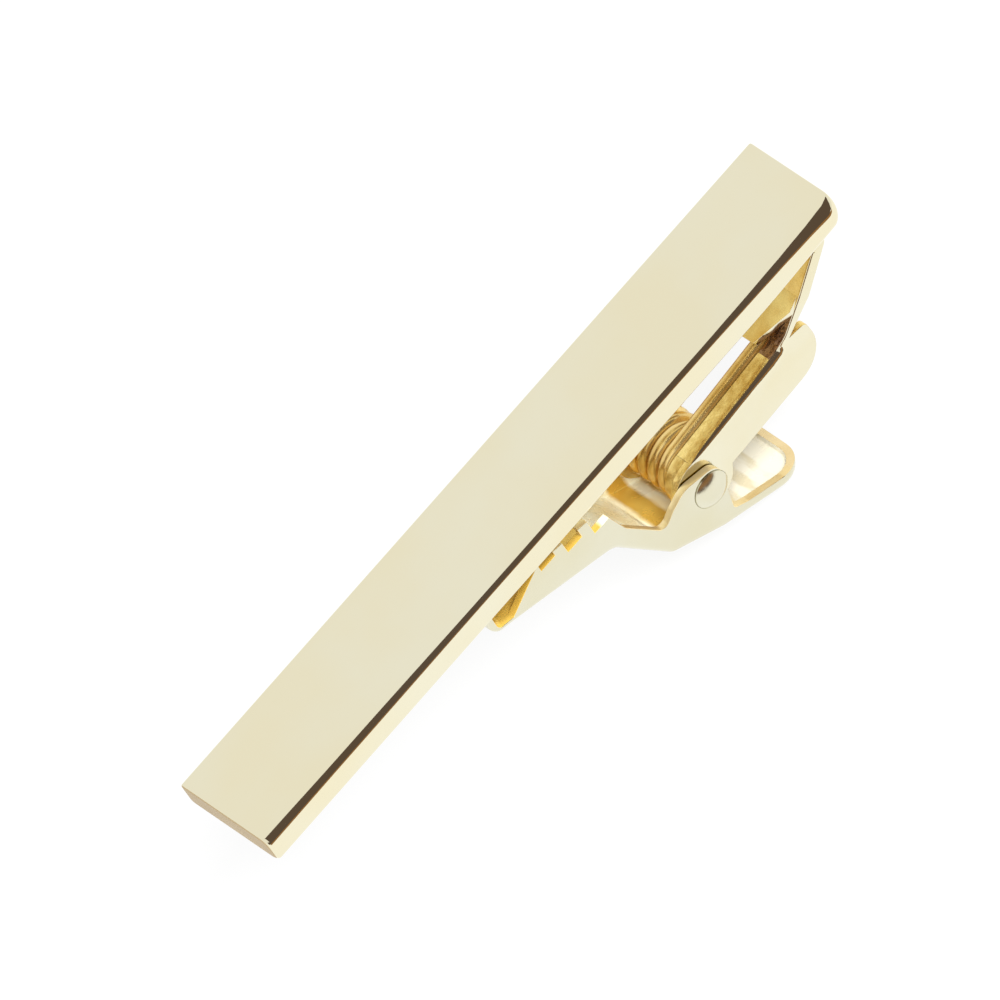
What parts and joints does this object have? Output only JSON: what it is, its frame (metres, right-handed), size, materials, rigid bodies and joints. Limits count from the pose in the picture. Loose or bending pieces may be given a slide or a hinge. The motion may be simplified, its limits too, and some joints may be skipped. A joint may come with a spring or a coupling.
{
  "type": "tie clip",
  "caption": "Short polished tie bar with a sprung, toothed jaw hinged on a folded arm behind it, opened by a thumb tab.",
  "frame": {"origin": "middle of the bar's flat back, the face that the tie is held against", "axes": "+X along the bar towards the end that carries the fixed arm, +Y across the bar, +Z out of the bar's front; the clip's mechanism lies below zero"},
  "size_m": [0.0418, 0.0065, 0.0133],
  "materials": {
    "bar_gold": "pale gold plate, mirror polished",
    "sheet_gold": "pale gold plate over stamped sheet, bright",
    "spring_gold": "gold-plated spring wire, bright"
  },
  "bodies": {
    "frame": {"front_bar": "bar_gold", "fixed_arm": "sheet_gold", "pivot_rivet": "sheet_gold", "torsion_spring": "spring_gold"},
    "jaw": {"jaw": "sheet_gold"}
  },
  "joints": [
    {"name": "jaw_pivot", "type": "hinge", "parent": "frame", "child": "jaw", "pos_m": [0.00749, 0, -0.00654], "axis": [0, -1, 0], "range_deg": [0, 28], "stiffness_Nm_per_rad": 0.0003, "springref_deg": -34.38, "deforming": ["torsion_spring"]}
  ]
}
